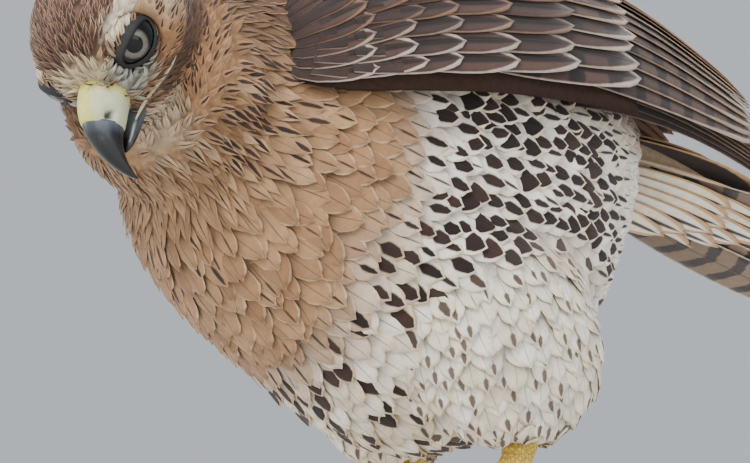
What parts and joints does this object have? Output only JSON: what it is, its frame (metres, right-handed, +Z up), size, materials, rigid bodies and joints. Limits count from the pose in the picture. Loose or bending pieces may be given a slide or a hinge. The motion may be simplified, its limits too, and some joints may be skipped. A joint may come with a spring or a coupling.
{
  "type": "juvenile red-tailed hawk",
  "caption": "Life-size still model of a young red-tailed hawk standing with body level, head bowed and turned to its left, wings folded.",
  "frame": {"origin": "on the floor, at the middle of the left foot's sole", "axes": "+Z up, the bird faces -Y with its left side towards +X, its tail towards +Y"},
  "size_m": [0.1572, 0.4996, 0.2644],
  "materials": {
    "body_feathers": "matte",
    "wing_feathers": "matte",
    "leg_feathers": "matte",
    "bare_skin": "satin",
    "cere_skin": "satin",
    "horn": "gloss",
    "eye": "gloss"
  },
  "bodies": {
    "root": {"torso": "body_feathers", "neck": "body_feathers", "head": "body_feathers", "left_eye": "eye", "right_eye": "eye", "cere": "cere_skin", "upper_bill": "horn", "lower_bill": "horn", "left_wing": "wing_feathers", "right_wing": "wing_feathers", "tail": "wing_feathers", "left_thigh": "leg_feathers", "right_thigh": "leg_feathers", "left_tarsus": "bare_skin", "right_tarsus": "bare_skin", "left_foot": "bare_skin", "right_foot": "bare_skin", "left_talon_1": "horn", "left_talon_2": "horn", "left_talon_3": "horn", "left_talon_4": "horn", "right_talon_1": "horn", "right_talon_2": "horn", "right_talon_3": "horn", "right_talon_4": "horn"}
  },
  "joints": []
}
